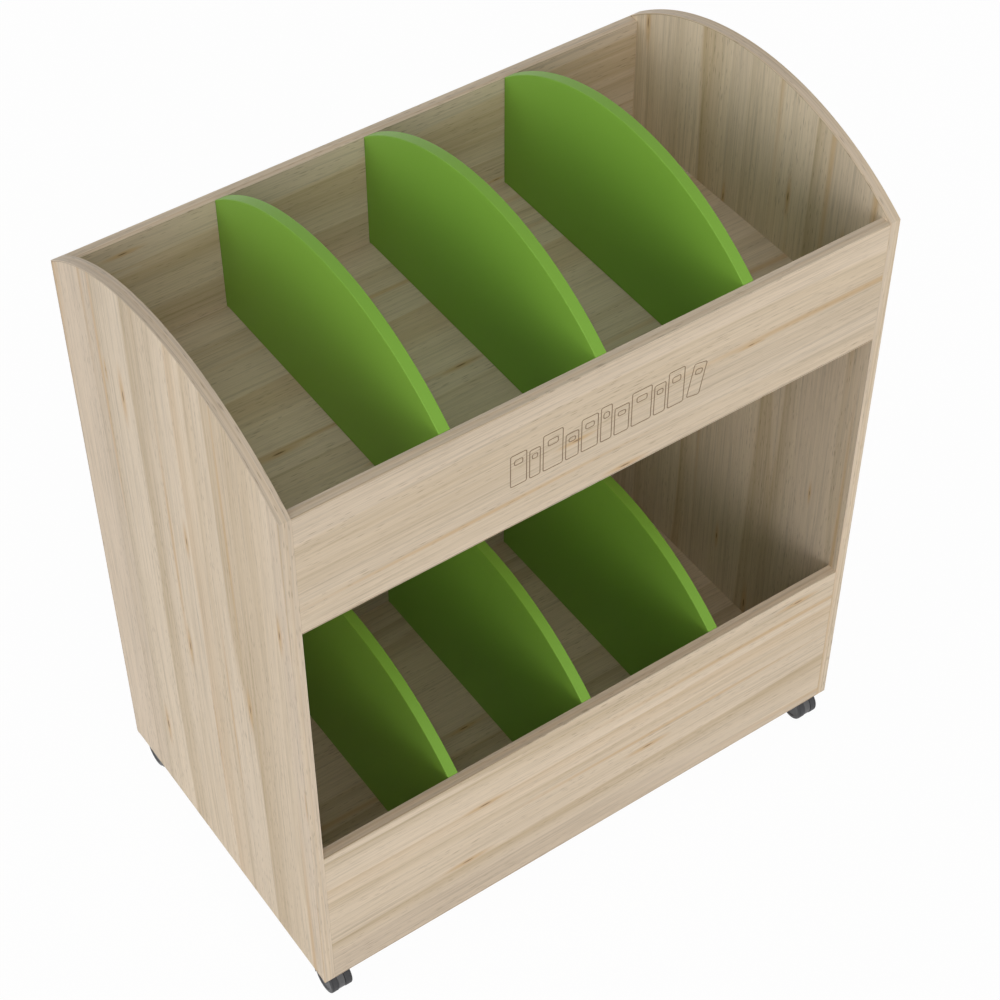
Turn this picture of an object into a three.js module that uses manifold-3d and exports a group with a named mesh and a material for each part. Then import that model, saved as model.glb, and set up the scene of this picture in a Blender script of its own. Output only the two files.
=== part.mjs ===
// Two-tier browser bin for picture books: arched end panels, a back, two front panels, two tray
// floors and arched dividers, dowelled together, on four twin-wheel swivel casters.
// Millimetres, +Z up, front towards -Y, origin on the floor under the middle of the bin.

import * as THREE from 'three';
import { mergeVertices } from 'three/addons/utils/BufferGeometryUtils.js';
import Module from 'manifold-3d';

const wasm = await Module();
wasm.setup();

// Carcass boards
const WIDTH = 1010; // over the outer faces of the end panels
const DEPTH = 600; // front face to back face
const BOARD = 18; // thickness of the end, front and back panels and the tray floors
const END_HEIGHT = 1050; // end panel's bottom edge to the corners where its arch starts
const ARCH_RISE = 100; // top of the end panel's arch above those corners
const UPPER_FRONT_HEIGHT = 220;
const LOWER_FRONT_HEIGHT = 320;
const FLOOR_RECESS = 4; // a tray floor's underside above its front panel's bottom edge
const EDGING = 2; // thickness of the edging strips

// Dividers
const DIVIDERS_PER_TRAY = 3;
const DIVIDER_BOARD = 18;
const DIVIDER_RISE = 100; // top of a divider's arch above its front and back corners

// Dowels, glued into one board and standing in a socket of the next
const DOWEL_DIAMETER = 8;
const DOWEL_COVER = 6; // board left between a socket and the far face
const DOWEL_INSET = 50; // first dowel from the end of its joint
const DOWEL_SPACING = 320; // most that two dowels of one joint lie apart

// Caster wheels and axle
const WHEEL_DIAMETER = 50;
const WHEEL_WIDTH = 13;
const WHEEL_ROUNDING = 3; // rounded shoulders of the tread
const WHEEL_DISH = 1.2; // depth of the dished outer face
const WHEEL_RIM = 4; // width of the rim around the dish
const WHEEL_FACE = 4; // wheel left in front of the axle's end
const WHEEL_GAP = 0.5; // running gap between a wheel and the hood's web
const AXLE_DIAMETER = 6;
const TRAIL = 20; // axle's distance from the swivel axis

// Caster hood, kingpin and mounting plate
const WELL_GAP = 1; // running gap between the tread and the hood
const HOOD_WALL = 2.5; // shell over the wheels
const HOOD_NECK = 9.5; // hood's top above its shell
const HOOD_BACK = THREE.MathUtils.degToRad(-20); // where the shell ends behind the wheels
const HOOD_FRONT = THREE.MathUtils.degToRad(115); // where the shell ends over the wheels
const WEB_LIFT = 0.8; // lowest point of the web above the floor
const BOSS_WALL = 4; // boss around the kingpin
const BOSS_FLOOR = 2; // boss below the kingpin's end
const WEB_WALL = 1.7; // web left beside the kingpin
const KINGPIN_DIAMETER = 8;
const KINGPIN_DEPTH = 25; // kingpin's length inside the hood
const SWIVEL_GAP = 0.5; // between the hood and the plate
const PLATE_WIDTH = 25; // along X
const PLATE_LENGTH = 46; // along Y
const PLATE_THICKNESS = 2.5;
const PLATE_MARGIN = 0.5; // plate's side to the end panel
const FRONT_SETBACK = 6; // front plate's end to the front panel
const BACK_SETBACK = 13; // back plate's end to the back panel

// Plate screws
const SCREW_DIAMETER = 3.5;
const SCREW_HEAD_DIAMETER = 7;
const SCREW_HEAD_HEIGHT = 2.2;
const SCREW_HEAD_CHAMFER = 1;
const SCREW_TIP = 3; // length of the pointed end
const SCREW_INSET = 4.5; // screw's axis to the plate's edges
const SCREW_COVER = 4.5; // tray floor left above a screw's hole

// Clearances and facets
const FIT = 0.3; // around dowels, pins and screws
const CUT_OVERRUN = 1; // how far a cutting or joined shape passes the face that it starts on
const ARCH_STEPS = 12;
const WHEEL_SIDES = 24;
const HOOD_STEPS = 8;
const PIN_SIDES = 12;
const SCREW_SIDES = 8;
const DOWEL_SIDES = 6;
const MERGE_DISTANCE = 1e-4;

// Places worked out from the dimensions
const wheelRadius = WHEEL_DIAMETER / 2;
const wellRadius = wheelRadius + WELL_GAP;
const hoodRadius = wellRadius + HOOD_WALL;
const hoodTop = wheelRadius + hoodRadius + HOOD_NECK;
const plateBottom = hoodTop + SWIVEL_GAP;
const plateTop = plateBottom + PLATE_THICKNESS;
const webWidth = KINGPIN_DIAMETER + 2 * (FIT + WEB_WALL);
const casterWidth = webWidth + 2 * (WHEEL_GAP + WHEEL_WIDTH);

const panelBottom = plateTop - FLOOR_RECESS;
const panelTop = panelBottom + END_HEIGHT;
const lowerFrontTop = panelBottom + LOWER_FRONT_HEIGHT;
const upperFrontBottom = panelTop - UPPER_FRONT_HEIGHT;
const lowerFloorBottom = plateTop;
const upperFloorBottom = upperFrontBottom + FLOOR_RECESS;
const innerWidth = WIDTH - 2 * BOARD;
const innerDepth = DEPTH - 2 * BOARD;
const endCentre = (WIDTH - BOARD) / 2;
const frontCentre = (DEPTH - BOARD) / 2;
const dividerPitch = (innerWidth + DIVIDER_BOARD) / (DIVIDERS_PER_TRAY + 1);
const casterX = innerWidth / 2 - PLATE_MARGIN - PLATE_WIDTH / 2;
const frontCasterY = FRONT_SETBACK + (PLATE_LENGTH - innerDepth) / 2;
const backCasterY = (innerDepth - PLATE_LENGTH) / 2 - BACK_SETBACK;
const screwReach = BOARD - SCREW_COVER;
const screwX = PLATE_WIDTH / 2 - SCREW_INSET;
const screwY = PLATE_LENGTH / 2 - SCREW_INSET;
const dowelReach = BOARD - DOWEL_COVER - FIT;

const AXIS_X = new THREE.Vector3(1, 0, 0);
const AXIS_Y = new THREE.Vector3(0, 1, 0);
const AXIS_Z = new THREE.Vector3(0, 0, 1);

const woodBoard = new THREE.MeshStandardMaterial({ color: 0xc9b8a1, roughness: 0.55, metalness: 0 });
const woodEdging = new THREE.MeshStandardMaterial({ color: 0xbca995, roughness: 0.5, metalness: 0 });
const greenBoard = new THREE.MeshStandardMaterial({ color: 0x6fa33a, roughness: 0.5, metalness: 0 });
const blackNylon = new THREE.MeshStandardMaterial({ color: 0x3b3b3c, roughness: 0.45, metalness: 0 });
const wheelRubber = new THREE.MeshStandardMaterial({ color: 0x2c2c2d, roughness: 0.6, metalness: 0 });
const zincSteel = new THREE.MeshStandardMaterial({ color: 0xb4b6b8, roughness: 0.35, metalness: 1 });

const bin = new THREE.Group();

// Joining and cutting

function solidOf(geometry) {
  const bare = geometry.clone();
  bare.deleteAttribute('normal');
  bare.deleteAttribute('uv');
  const merged = mergeVertices(bare, MERGE_DISTANCE);
  const index = merged.index.array;
  const triangles = [];
  for (let i = 0; i < index.length; i += 3) {
    const [a, b, c] = index.slice(i, i + 3);
    if (a !== b && b !== c && c !== a) triangles.push(a, b, c);
  }
  return new wasm.Manifold(new wasm.Mesh({
    numProp: 3,
    vertProperties: new Float32Array(merged.attributes.position.array),
    triVerts: new Uint32Array(triangles),
  }));
}

function geometryOf(solid) {
  const mesh = solid.getMesh();
  const geometry = new THREE.BufferGeometry();
  geometry.setAttribute('position', new THREE.BufferAttribute(mesh.vertProperties, 3));
  geometry.setIndex(new THREE.BufferAttribute(mesh.triVerts, 1));
  geometry.computeVertexNormals();
  return geometry;
}

function joinAndCut(base, joined, cuts) {
  let solid = solidOf(base);
  for (const shape of joined) solid = solid.add(solidOf(shape));
  for (const shape of cuts) solid = solid.subtract(solidOf(shape));
  return geometryOf(solid);
}

function addMesh(parent, name, geometry, material, position = new THREE.Vector3()) {
  const mesh = new THREE.Mesh(geometry, material);
  mesh.name = name;
  mesh.position.copy(position);
  parent.add(mesh);
}

// Basic shapes

// A bar along a direction, from a point to a distance, whose corners lie on the given radius.
function bar(radius, from, direction, start, end, sides) {
  const geometry = new THREE.CylinderGeometry(radius, radius, end - start, sides);
  geometry.translate(0, (start + end) / 2, 0);
  geometry.applyQuaternion(new THREE.Quaternion().setFromUnitVectors(AXIS_Y, direction));
  return geometry.translate(from.x, from.y, from.z);
}

// The cutter of a round hole: its flats lie on the given radius, so that a bar of it clears them.
function hole(radius, from, direction, start, end, sides) {
  return bar(radius / Math.cos(Math.PI / sides), from, direction, start, end, sides);
}

// A shape drawn in the YZ plane, extruded along X about its middle.
function slab(shape, thickness, steps) {
  const geometry = new THREE.ExtrudeGeometry(shape, {
    depth: thickness,
    bevelEnabled: false,
    curveSegments: steps,
  });
  geometry.translate(0, 0, -thickness / 2);
  return geometry.applyMatrix4(new THREE.Matrix4().makeBasis(AXIS_Y, AXIS_Z, AXIS_X));
}

// The arc of a board whose top corners lie at chord / 2 on both sides, at a height.
function archOver(chord, rise, cornerHeight) {
  const radius = (chord * chord / 4 + rise * rise) / (2 * rise);
  return { radius, centre: cornerHeight + rise - radius };
}

function angleAt(arch, halfWidth) {
  return Math.acos(halfWidth / arch.radius);
}

// Dowel joints: each dowel has a point on the face that it stands on and a direction into its socket

function dowelRow(middle, along, length, direction) {
  const span = length - 2 * DOWEL_INSET;
  const gaps = Math.max(1, Math.ceil(span / DOWEL_SPACING));
  const dowels = [];
  for (let i = 0; i <= gaps; i++) {
    const offset = span * (i / gaps - 0.5);
    dowels.push({ at: middle.clone().addScaledVector(along, offset), direction });
  }
  return dowels;
}

function dowelPegs(dowels, board) {
  const radius = DOWEL_DIAMETER / 2;
  return dowels.map(({ at, direction }) => (
    bar(radius, at.clone().sub(board), direction, -CUT_OVERRUN, dowelReach, DOWEL_SIDES)
  ));
}

function dowelSockets(dowels, board) {
  const radius = DOWEL_DIAMETER / 2 + FIT;
  return dowels.map(({ at, direction }) => (
    hole(radius, at.clone().sub(board), direction, -CUT_OVERRUN, dowelReach + FIT, DOWEL_SIDES)
  ));
}

// Both ends of a board that stands between the end panels.
function endJoints(y, z, along, length) {
  return [-1, 1].flatMap((side) => dowelRow(
    new THREE.Vector3(side * innerWidth / 2, y, z),
    along,
    length,
    AXIS_X.clone().multiplyScalar(side),
  ));
}

// Both long edges of a tray floor, into the front and the back panel.
function floorEdgeJoints(z) {
  return [-1, 1].flatMap((side) => dowelRow(
    new THREE.Vector3(0, side * innerDepth / 2, z),
    AXIS_X,
    innerWidth,
    AXIS_Y.clone().multiplyScalar(side),
  ));
}

function dividerPlaces() {
  const places = [];
  for (let i = 1; i <= DIVIDERS_PER_TRAY; i++) {
    places.push(i * dividerPitch - (innerWidth + DIVIDER_BOARD) / 2);
  }
  return places;
}

// The bottom edges of a tray's dividers, into the floor that they stand on.
function dividerJoints(floorTop) {
  return dividerPlaces().map((x) => dowelRow(
    new THREE.Vector3(x, 0, floorTop),
    AXIS_Y,
    innerDepth,
    AXIS_Z.clone().negate(),
  ));
}

const backHeight = END_HEIGHT - EDGING;
const backZ = panelBottom + backHeight / 2;
const upperFrontZ = upperFrontBottom + UPPER_FRONT_HEIGHT / 2;
const lowerFrontZ = panelBottom + LOWER_FRONT_HEIGHT / 2;
const upperFloorZ = upperFloorBottom + BOARD / 2;
const lowerFloorZ = lowerFloorBottom + BOARD / 2;
const upperFloorTop = upperFloorBottom + BOARD;
const lowerFloorTop = lowerFloorBottom + BOARD;

const backEnds = endJoints(frontCentre, backZ, AXIS_Z, backHeight);
const upperFrontEnds = endJoints(-frontCentre, upperFrontZ, AXIS_Z, UPPER_FRONT_HEIGHT);
const lowerFrontEnds = endJoints(-frontCentre, lowerFrontZ, AXIS_Z, LOWER_FRONT_HEIGHT);
const upperFloorEnds = endJoints(0, upperFloorZ, AXIS_Y, innerDepth);
const lowerFloorEnds = endJoints(0, lowerFloorZ, AXIS_Y, innerDepth);
const upperFloorEdges = floorEdgeJoints(upperFloorZ);
const lowerFloorEdges = floorEdgeJoints(lowerFloorZ);
const upperDividerFeet = dividerJoints(upperFloorTop);
const lowerDividerFeet = dividerJoints(lowerFloorTop);

const towardsFront = (dowel) => dowel.direction.y < 0;
const towardsBack = (dowel) => dowel.direction.y > 0;
const onSide = (side) => (dowel) => dowel.direction.x === side;

// End panels: a core board, edged along its front, its arch and its back

function endCoreShape() {
  const arch = archOver(DEPTH, ARCH_RISE, END_HEIGHT);
  const core = { radius: arch.radius - EDGING, centre: arch.centre };
  const half = DEPTH / 2 - EDGING;
  const angle = angleAt(core, half);
  const shape = new THREE.Shape();
  shape.moveTo(-half, 0);
  shape.lineTo(half, 0);
  shape.absarc(0, core.centre, core.radius, angle, Math.PI - angle);
  return shape;
}

function endEdgingShape() {
  const arch = archOver(DEPTH, ARCH_RISE, END_HEIGHT);
  const inside = { radius: arch.radius - EDGING, centre: arch.centre };
  const outerHalf = DEPTH / 2;
  const innerHalf = DEPTH / 2 - EDGING;
  const outerAngle = angleAt(arch, outerHalf);
  const innerAngle = angleAt(inside, innerHalf);
  const shape = new THREE.Shape();
  shape.moveTo(outerHalf, 0);
  shape.absarc(0, arch.centre, arch.radius, outerAngle, Math.PI - outerAngle);
  shape.lineTo(-outerHalf, 0);
  shape.lineTo(-innerHalf, 0);
  shape.absarc(0, inside.centre, inside.radius, Math.PI - innerAngle, innerAngle, true);
  shape.lineTo(innerHalf, 0);
  return shape;
}

function addEndPanel(name, side) {
  const place = new THREE.Vector3(side * endCentre, 0, panelBottom);
  const joints = [
    ...backEnds,
    ...upperFrontEnds,
    ...lowerFrontEnds,
    ...upperFloorEnds,
    ...lowerFloorEnds,
  ].filter(onSide(side));
  const core = slab(endCoreShape(), BOARD, ARCH_STEPS);
  addMesh(bin, `${name}_panel`, joinAndCut(core, [], dowelSockets(joints, place)), woodBoard, place);
  addMesh(bin, `${name}_edging`, slab(endEdgingShape(), BOARD, ARCH_STEPS), woodEdging, place);
}

// Upright boards between the end panels, with edging strips on their long edges

function addEdgingStrip(name, y, z) {
  const strip = new THREE.BoxGeometry(innerWidth, BOARD, EDGING);
  addMesh(bin, name, strip, woodEdging, new THREE.Vector3(0, y, z));
}

function addBackPanel() {
  const place = new THREE.Vector3(0, frontCentre, backZ);
  const floors = [...upperFloorEdges, ...lowerFloorEdges].filter(towardsBack);
  const core = new THREE.BoxGeometry(innerWidth, BOARD, backHeight);
  const pegs = dowelPegs(backEnds, place);
  const sockets = dowelSockets(floors, place);
  addMesh(bin, 'back_panel', joinAndCut(core, pegs, sockets), woodBoard, place);
  addEdgingStrip('back_top_edging', frontCentre, panelTop - EDGING / 2);
}

function addFrontPanel(name, bottom, height, ends, floorEdges) {
  const place = new THREE.Vector3(0, -frontCentre, bottom + height / 2);
  const core = new THREE.BoxGeometry(innerWidth, BOARD, height - 2 * EDGING);
  const pegs = dowelPegs(ends, place);
  const sockets = dowelSockets(floorEdges.filter(towardsFront), place);
  addMesh(bin, `${name}_panel`, joinAndCut(core, pegs, sockets), woodBoard, place);
  addEdgingStrip(`${name}_bottom_edging`, -frontCentre, bottom + EDGING / 2);
  addEdgingStrip(`${name}_top_edging`, -frontCentre, bottom + height - EDGING / 2);
}

// Tray floors and their dividers

function addTrayFloor(name, bottom, ends, edges, dividerFeet, cuts = []) {
  const place = new THREE.Vector3(0, 0, bottom + BOARD / 2);
  const core = new THREE.BoxGeometry(innerWidth, innerDepth, BOARD);
  const pegs = dowelPegs([...ends, ...edges], place);
  const sockets = dowelSockets(dividerFeet.flat(), place);
  const screwHoles = cuts.map((cut) => cut.translate(-place.x, -place.y, -place.z));
  addMesh(bin, name, joinAndCut(core, pegs, [...sockets, ...screwHoles]), woodBoard, place);
}

function dividerShape(cornerHeight) {
  const arch = archOver(innerDepth, DIVIDER_RISE, cornerHeight);
  const angle = angleAt(arch, innerDepth / 2);
  const shape = new THREE.Shape();
  shape.moveTo(-innerDepth / 2, 0);
  shape.lineTo(innerDepth / 2, 0);
  shape.absarc(0, arch.centre, arch.radius, angle, Math.PI - angle);
  return shape;
}

function addDividers(name, floorTop, cornerTop, feet) {
  dividerPlaces().forEach((x, i) => {
    const place = new THREE.Vector3(x, 0, floorTop);
    const core = slab(dividerShape(cornerTop - floorTop), DIVIDER_BOARD, ARCH_STEPS);
    const geometry = joinAndCut(core, dowelPegs(feet[i], place), []);
    addMesh(bin, `${name}_${i + 1}`, geometry, greenBoard, place);
  });
}

// Casters, each drawn about its swivel axis with the wheels trailing towards the front. The back ones
// stand turned half round, so that all wheels lie out towards the bin's corners.

const axleCentre = new THREE.Vector3(0, -TRAIL, wheelRadius);
const swivelAxis = new THREE.Vector3();
const kingpinBottom = hoodTop - KINGPIN_DEPTH;

function screwPlaces() {
  return [[-1, -1], [1, -1], [-1, 1], [1, 1]].map(([x, y]) => (
    new THREE.Vector3(x * screwX, y * screwY, plateTop)
  ));
}

function screwHole(place) {
  const radius = SCREW_DIAMETER / 2 + FIT;
  return hole(radius, place, AXIS_Z, -CUT_OVERRUN - PLATE_THICKNESS, screwReach + FIT, SCREW_SIDES);
}

function plateGeometry() {
  const plate = new THREE.BoxGeometry(PLATE_WIDTH, PLATE_LENGTH, PLATE_THICKNESS);
  plate.translate(0, 0, plateTop - PLATE_THICKNESS / 2);
  const pinHole = hole(
    KINGPIN_DIAMETER / 2 + FIT,
    swivelAxis,
    AXIS_Z,
    plateBottom - CUT_OVERRUN,
    plateTop + CUT_OVERRUN,
    PIN_SIDES,
  );
  return joinAndCut(plate, [], [pinHole, ...screwPlaces().map(screwHole)]);
}

function kingpinGeometry() {
  return bar(KINGPIN_DIAMETER / 2, swivelAxis, AXIS_Z, kingpinBottom, plateTop, PIN_SIDES);
}

function hoodGeometry() {
  const shellShape = new THREE.Shape();
  shellShape.moveTo(0, 0);
  shellShape.absarc(0, 0, hoodRadius, HOOD_BACK, HOOD_FRONT);
  const shell = slab(shellShape, casterWidth, HOOD_STEPS);
  shell.translate(axleCentre.x, axleCentre.y, axleCentre.z);
  const webRadius = wheelRadius - WEB_LIFT;
  const web = bar(webRadius, axleCentre, AXIS_X, -webWidth / 2, webWidth / 2, 2 * HOOD_STEPS);
  const boreRadius = KINGPIN_DIAMETER / 2 + FIT;
  const boreBottom = kingpinBottom - FIT;
  const bossBottom = boreBottom - BOSS_FLOOR;
  const boss = bar(boreRadius + BOSS_WALL, swivelAxis, AXIS_Z, bossBottom, hoodTop, PIN_SIDES);
  const bore = hole(boreRadius, swivelAxis, AXIS_Z, boreBottom, hoodTop + CUT_OVERRUN, PIN_SIDES);
  const wells = [-1, 1].map((side) => hole(
    wellRadius,
    axleCentre,
    AXIS_X.clone().multiplyScalar(side),
    webWidth / 2,
    casterWidth / 2 + CUT_OVERRUN,
    2 * HOOD_STEPS,
  ));
  const axleHole = hole(
    AXLE_DIAMETER / 2 + FIT,
    axleCentre,
    AXIS_X,
    -webWidth / 2 - CUT_OVERRUN,
    webWidth / 2 + CUT_OVERRUN,
    PIN_SIDES,
  );
  return joinAndCut(shell, [web, boss], [bore, ...wells, axleHole]);
}

const wheelBoreDepth = WHEEL_WIDTH - WHEEL_FACE;

function axleGeometry() {
  const half = webWidth / 2 + WHEEL_GAP + wheelBoreDepth - FIT;
  return bar(AXLE_DIAMETER / 2, axleCentre, AXIS_X, -half, half, PIN_SIDES);
}

// A wheel's section from its axle bore round the tread to its dished face, as radius and distance
// from the web. The tread's flats, not its corners, lie on the wheel's radius, so one rests on the floor.
function wheelGeometry(side) {
  const tread = wheelRadius / Math.cos(Math.PI / WHEEL_SIDES);
  const bore = (AXLE_DIAMETER / 2 + FIT) / Math.cos(Math.PI / WHEEL_SIDES);
  const shoulder = tread - WHEEL_ROUNDING;
  const softening = WHEEL_ROUNDING * (1 - Math.SQRT1_2);
  const dish = shoulder - WHEEL_RIM;
  const section = [
    [0, wheelBoreDepth],
    [bore, wheelBoreDepth],
    [bore, 0],
    [tread - softening, 0],
    [tread, softening],
    [tread, WHEEL_WIDTH - WHEEL_ROUNDING],
    [tread - softening, WHEEL_WIDTH - softening],
    [shoulder, WHEEL_WIDTH],
    [dish, WHEEL_WIDTH],
    [dish - WHEEL_DISH, WHEEL_WIDTH - WHEEL_DISH],
    [0, WHEEL_WIDTH - WHEEL_DISH],
  ].map(([radius, distance]) => new THREE.Vector2(radius, distance));
  const wheel = new THREE.LatheGeometry(section, WHEEL_SIDES, Math.PI / WHEEL_SIDES);
  wheel.rotateZ(-side * Math.PI / 2);
  const inner = side * (webWidth / 2 + WHEEL_GAP);
  wheel.translate(axleCentre.x + inner, axleCentre.y, axleCentre.z);
  return geometryOf(solidOf(wheel));
}

function screwGeometry() {
  const radius = SCREW_DIAMETER / 2;
  const head = SCREW_HEAD_DIAMETER / 2;
  const section = [
    [0, -SCREW_HEAD_HEIGHT],
    [head - SCREW_HEAD_CHAMFER, -SCREW_HEAD_HEIGHT],
    [head, SCREW_HEAD_CHAMFER - SCREW_HEAD_HEIGHT],
    [head, 0],
    [radius, 0],
    [radius, PLATE_THICKNESS + screwReach - SCREW_TIP],
    [0, PLATE_THICKNESS + screwReach],
  ].map(([r, height]) => new THREE.Vector2(r, height));
  const screw = new THREE.LatheGeometry(section, SCREW_SIDES);
  screw.rotateX(Math.PI / 2);
  return geometryOf(solidOf(screw));
}

const casterCorners = [
  { name: 'front_left', x: -casterX, y: frontCasterY, turn: 0 },
  { name: 'front_right', x: casterX, y: frontCasterY, turn: 0 },
  { name: 'back_left', x: -casterX, y: backCasterY, turn: Math.PI },
  { name: 'back_right', x: casterX, y: backCasterY, turn: Math.PI },
];

function addCaster({ name, x, y, turn }) {
  const caster = new THREE.Group();
  caster.position.set(x, y, 0);
  caster.rotation.z = turn;
  const right = turn === 0 ? 1 : -1;
  addMesh(caster, `${name}_caster_plate`, plateGeometry(), zincSteel);
  addMesh(caster, `${name}_caster_kingpin`, kingpinGeometry(), zincSteel);
  addMesh(caster, `${name}_caster_hood`, hoodGeometry(), blackNylon);
  addMesh(caster, `${name}_caster_axle`, axleGeometry(), zincSteel);
  addMesh(caster, `${name}_caster_wheel_left`, wheelGeometry(-right), wheelRubber);
  addMesh(caster, `${name}_caster_wheel_right`, wheelGeometry(right), wheelRubber);
  screwPlaces().forEach((place, i) => {
    const seat = new THREE.Vector3(place.x, place.y, plateBottom);
    addMesh(caster, `${name}_caster_screw_${i + 1}`, screwGeometry(), zincSteel, seat);
  });
  bin.add(caster);
}

function casterScrewHoles() {
  return casterCorners.flatMap(({ x, y }) => (
    screwPlaces().map((place) => screwHole(place).translate(x, y, 0))
  ));
}

// The whole bin

addEndPanel('left_end', -1);
addEndPanel('right_end', 1);
addBackPanel();
addFrontPanel('upper_front', upperFrontBottom, UPPER_FRONT_HEIGHT, upperFrontEnds, upperFloorEdges);
addFrontPanel('lower_front', panelBottom, LOWER_FRONT_HEIGHT, lowerFrontEnds, lowerFloorEdges);
addTrayFloor('upper_tray_floor', upperFloorBottom, upperFloorEnds, upperFloorEdges, upperDividerFeet);
addTrayFloor(
  'lower_tray_floor',
  lowerFloorBottom,
  lowerFloorEnds,
  lowerFloorEdges,
  lowerDividerFeet,
  casterScrewHoles(),
);
addDividers('upper_divider', upperFloorTop, panelTop, upperDividerFeet);
addDividers('lower_divider', lowerFloorTop, lowerFrontTop, lowerDividerFeet);
casterCorners.forEach(addCaster);

export default bin;
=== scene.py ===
"""Two-tier browser bin on twin-wheel casters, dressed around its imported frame.

Metres, +Z up, front towards -Y. Every piece stands where the frame's node of it stands.
"""

import math

import bmesh
import bpy
from bpy.props import FloatProperty, FloatVectorProperty, IntProperty, PointerProperty
from mathutils import Matrix, Vector


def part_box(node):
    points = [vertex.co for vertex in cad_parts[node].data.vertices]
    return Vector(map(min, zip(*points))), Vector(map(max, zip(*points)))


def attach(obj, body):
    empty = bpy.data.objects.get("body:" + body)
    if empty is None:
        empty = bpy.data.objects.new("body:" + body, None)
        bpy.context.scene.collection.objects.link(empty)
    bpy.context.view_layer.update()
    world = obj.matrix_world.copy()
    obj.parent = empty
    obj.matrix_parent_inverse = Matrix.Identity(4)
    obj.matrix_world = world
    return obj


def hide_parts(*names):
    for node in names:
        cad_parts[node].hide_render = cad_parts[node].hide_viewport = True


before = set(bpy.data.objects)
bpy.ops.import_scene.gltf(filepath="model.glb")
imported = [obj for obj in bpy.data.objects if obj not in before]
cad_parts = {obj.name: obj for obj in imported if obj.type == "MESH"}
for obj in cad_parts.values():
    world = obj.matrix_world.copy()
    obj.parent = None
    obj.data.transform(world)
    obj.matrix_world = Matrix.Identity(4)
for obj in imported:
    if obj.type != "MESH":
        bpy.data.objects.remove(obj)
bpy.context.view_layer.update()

bl_info = {
    "name": "Browser bin",
    "version": (1, 0, 0),
    "blender": (4, 5, 0),
    "location": "3D View > Sidebar > Browser bin",
    "description": "Dresses the frame of a browser bin with boards, edging, dividers and casters",
    "category": "Object",
}

CARCASS = "carcass"
CORNERS = ("front_left", "front_right", "back_left", "back_right")
SIDES = ("left", "right")
TRAYS = ("upper", "lower")
AXIS_X = Vector((1, 0, 0))
AXIS_Y = Vector((0, 1, 0))
AXIS_Z = Vector((0, 0, 1))

# Camera of the reference view
CAMERA_PLACE = (-1.3899, -2.0409, 3.2266)
CAMERA_FORWARD = (0.3909, 0.5601, -0.7304)
CAMERA_LENS = 84.361
CAMERA_SENSOR = 36.0

# Light on the object: the sky at its rim, then each lamp's strength, shadow and the way to it
SKY_RIM = 1.02
SOFT_LIGHTS = (
    ("Front light", 0.97, True, (-0.335, -0.919, 0.208)),
    ("Left light", 0.47, True, (-0.893, 0.157, 0.423)),
    ("Top light", 0.50, True, (-0.171, -0.470, 0.866)),
    ("Fill light", 0.2, False, (-0.990, -0.100, 0.100)),
)
LIGHT_SPREAD = math.radians(40)
FLOOR_SIZE = 60.0
FLOOR_SHINE = 0.97

# Woodgrain noise: features in a metre along and across the grain, and a seed
SWAY = (0.9, 3.0, 2.7)
BEND = (0.35, 9.0, 11.3)
WAVER = (0.8, 25.0, 31.1)
BROAD = (0.5, 6.0, 23.9)
THREAD = (5.0, 300.0, 41.7)
FIBRE = (22.0, 800.0, 53.3)
OPEN_GRAIN = (1.5, 25.0, 61.7)

# Growth bands in a metre
BOARD_BANDS = 13.0
FINE_BANDS = 60.0
EDGING_BANDS = 170.0

# Woodgrain specks: a cell's length and width, a speck's reach in its cell and the share of cells with one
PORES = (0.034, 0.0038, 0.32, 0.5)
STREAKS = (1.8, 0.03, 0.34, 0.38)
KNOTS = (0.36, 0.05, 0.22, 0.26)
EDGING_KNOTS = (0.36, 0.05, 0.22, 0.04)

# Where the hood's shell ends behind and over the wheels, in degrees round the axle
HOOD_BACK = -20
HOOD_FRONT = 115

# The motif's upright outlines: width and height in millimetres, lean in degrees
MOTIF = (
    (26, 58, 0),
    (17, 52, 0),
    (32, 66, 0),
    (21, 47, 0),
    (27, 60, 0),
    (18, 64, 0),
    (24, 50, 0),
    (33, 62, 0),
    (19, 55, 0),
    (27, 66, 0),
    (22, 58, 11),
)
MOTIF_GAP = 5.0

# Left, low, right and high of each outline's band, in shares of its width and height
MOTIF_BAND = (0.24, 0.66, 0.76, 0.82)


def length(name, description, default):
    return FloatProperty(
        name=name, description=description, default=default, min=0.0, precision=5, unit="LENGTH"
    )


def shade(name, description, red, green, blue):
    return FloatVectorProperty(
        name=name,
        description=description,
        default=(red / 255, green / 255, blue / 255),
        min=0.0,
        max=1.0,
        subtype="COLOR_GAMMA",
    )


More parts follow.
